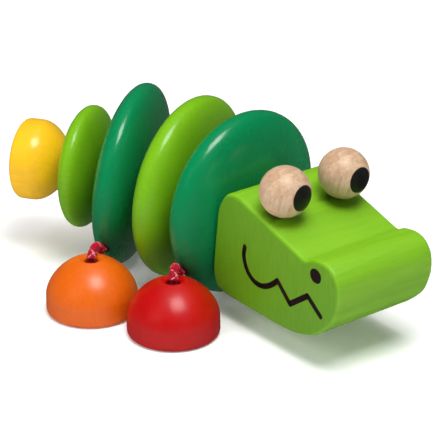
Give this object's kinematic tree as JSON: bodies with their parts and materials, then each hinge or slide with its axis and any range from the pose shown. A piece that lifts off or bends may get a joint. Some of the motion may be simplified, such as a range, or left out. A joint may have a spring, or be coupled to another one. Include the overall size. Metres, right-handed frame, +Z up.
{
  "type": "pull along crocodile toy",
  "caption": "Jointed wooden crocodile: head block with ball eyes, lens-shaped body discs and tail cup strung on elastic, domed feet hung on cords.",
  "frame": {"origin": "centre of the bounding box on the ground plane", "axes": "+X runs from the tail to the head, +Y to the toy's left, +Z up"},
  "size_m": [0.1604, 0.1106, 0.063],
  "materials": {
    "leaf_green_paint": "matt water stain with the grain showing",
    "dark_green_gloss": "glossy lacquer",
    "light_green_gloss": "glossy lacquer",
    "yellow_gloss": "glossy lacquer",
    "red_gloss": "semi-gloss lacquer",
    "orange_gloss": "semi-gloss lacquer",
    "natural_beech": "smooth bare wood under thin clear lacquer",
    "black_paint": "satin black paint",
    "dowel_beech": "bare dowel",
    "crimson_cord": "braided cord",
    "elastic_cord": "braided cover over elastic"
  },
  "bodies": {
    "head": {"head_block": "leaf_green_paint", "eye_ball_right": "natural_beech", "eye_ball_left": "natural_beech", "eye_pupil_right": "black_paint", "eye_pupil_left": "black_paint", "eye_dowel_right": "dowel_beech", "eye_dowel_left": "dowel_beech", "anchor_knot": "elastic_cord", "spine_cord_head": "elastic_cord"},
    "link_1": {"spine_cord_1": "elastic_cord"},
    "disc_front": {"disc_front": "dark_green_gloss", "leg_cord_core_front": "crimson_cord"},
    "link_2": {"spine_cord_2": "elastic_cord"},
    "disc_middle": {"disc_middle": "light_green_gloss"},
    "link_3": {"spine_cord_3": "elastic_cord"},
    "disc_rear": {"disc_rear": "dark_green_gloss", "leg_cord_core_rear": "crimson_cord"},
    "link_4": {"spine_cord_4": "elastic_cord"},
    "disc_small": {"disc_small": "light_green_gloss"},
    "link_5": {"spine_cord_5": "elastic_cord"},
    "tail_cup": {"tail_cup": "yellow_gloss", "tail_knot": "elastic_cord"},
    "leg_front_right": {"leg_cord_front_right": "crimson_cord"},
    "foot_front_right": {"foot_front_right": "red_gloss", "foot_front_right_knot": "crimson_cord"},
    "leg_front_left": {"leg_cord_front_left": "crimson_cord"},
    "foot_front_left": {"foot_front_left": "red_gloss", "foot_front_left_knot": "crimson_cord"},
    "leg_rear_right": {"leg_cord_rear_right": "crimson_cord"},
    "foot_rear_right": {"foot_rear_right": "orange_gloss", "foot_rear_right_knot": "crimson_cord"},
    "leg_rear_left": {"leg_cord_rear_left": "crimson_cord"},
    "foot_rear_left": {"foot_rear_left": "orange_gloss", "foot_rear_left_knot": "crimson_cord"}
  },
  "joints": [
    {"name": "neck_bend", "type": "hinge", "parent": "head", "child": "link_1", "pos_m": [0.01658, -0.00044, 0.03178], "axis": [0, 0, 1], "range_deg": [-12, 0.5]},
    {"name": "roll_front", "type": "hinge", "parent": "link_1", "child": "disc_front", "pos_m": [0.007, 0.00185, 0.0315], "axis": [0.9833, -0.1787, -0.0349], "range_deg": [-10, 10]},
    {"name": "bend_front_middle", "type": "hinge", "parent": "link_1", "child": "link_2", "pos_m": [-0.00405, 0.00322, 0.03135], "axis": [0, 0, 1], "range_deg": [-18, 0.7]},
    {"name": "spin_middle", "type": "hinge", "parent": "link_2", "child": "disc_middle", "pos_m": [-0.015, 0.00235, 0.0315], "axis": [0.9951, 0.0696, -0.0698], "continuous": true},
    {"name": "bend_middle_rear", "type": "hinge", "parent": "link_2", "child": "link_3", "pos_m": [-0.02652, 0.00217, 0.0314], "axis": [0, 0, 1], "range_deg": [-18, 0.7]},
    {"name": "roll_rear", "type": "hinge", "parent": "link_3", "child": "disc_rear", "pos_m": [-0.0371, -0.00005, 0.0315], "axis": [0.9438, 0.3158, -0.0976], "range_deg": [-10, 10]},
    {"name": "bend_rear_small", "type": "hinge", "parent": "link_3", "child": "link_4", "pos_m": [-0.04658, -0.00225, 0.03186], "axis": [0, 0, 1], "range_deg": [-12, 12]},
    {"name": "spin_small", "type": "hinge", "parent": "link_4", "child": "disc_small", "pos_m": [-0.0539, -0.00345, 0.0315], "axis": [0.9611, 0.2756, -0.0175], "continuous": true},
    {"name": "bend_small_tail", "type": "hinge", "parent": "link_4", "child": "link_5", "pos_m": [-0.06044, -0.00532, 0.03155], "axis": [0, 0, 1], "range_deg": [-15, 15]},
    {"name": "spin_tail", "type": "hinge", "parent": "link_5", "child": "tail_cup", "pos_m": [-0.06121, -0.00554, 0.0315], "axis": [0.9613, 0.2756, 0], "continuous": true},
    {"name": "swing_front_right", "type": "hinge", "parent": "disc_front", "child": "leg_front_right", "pos_m": [0.00163, -0.02451, 0.01511], "axis": [0.9839, -0.1788, 0], "range_deg": [-3, 16]},
    {"name": "turn_front_right", "type": "hinge", "parent": "leg_front_right", "child": "foot_front_right", "pos_m": [0.0077, -0.03805, 0.0186], "axis": [0, 0, 1], "continuous": true},
    {"name": "swing_front_left", "type": "hinge", "parent": "disc_front", "child": "leg_front_left", "pos_m": [0.01124, 0.02841, 0.01511], "axis": [0.9839, -0.1788, 0], "range_deg": [-16, 3]},
    {"name": "turn_front_left", "type": "hinge", "parent": "leg_front_left", "child": "foot_front_left", "pos_m": [0.0217, 0.03895, 0.0186], "axis": [0, 0, 1], "continuous": true},
    {"name": "swing_rear_right", "type": "hinge", "parent": "disc_rear", "child": "leg_rear_right", "pos_m": [-0.03009, -0.02606, 0.01518], "axis": [0.9483, 0.3173, 0], "range_deg": [-3, 16]},
    {"name": "turn_rear_right", "type": "hinge", "parent": "leg_rear_right", "child": "foot_rear_right", "pos_m": [-0.0238, -0.04025, 0.0186], "axis": [0, 0, 1], "continuous": true},
    {"name": "swing_rear_left", "type": "hinge", "parent": "disc_rear", "child": "leg_rear_left", "pos_m": [-0.04715, 0.02495, 0.01518], "axis": [0.9483, 0.3173, 0], "range_deg": [-16, 3]},
    {"name": "turn_rear_left", "type": "hinge", "parent": "leg_rear_left", "child": "foot_rear_left", "pos_m": [-0.05, 0.04025, 0.0186], "axis": [0, 0, 1], "continuous": true}
  ]
}
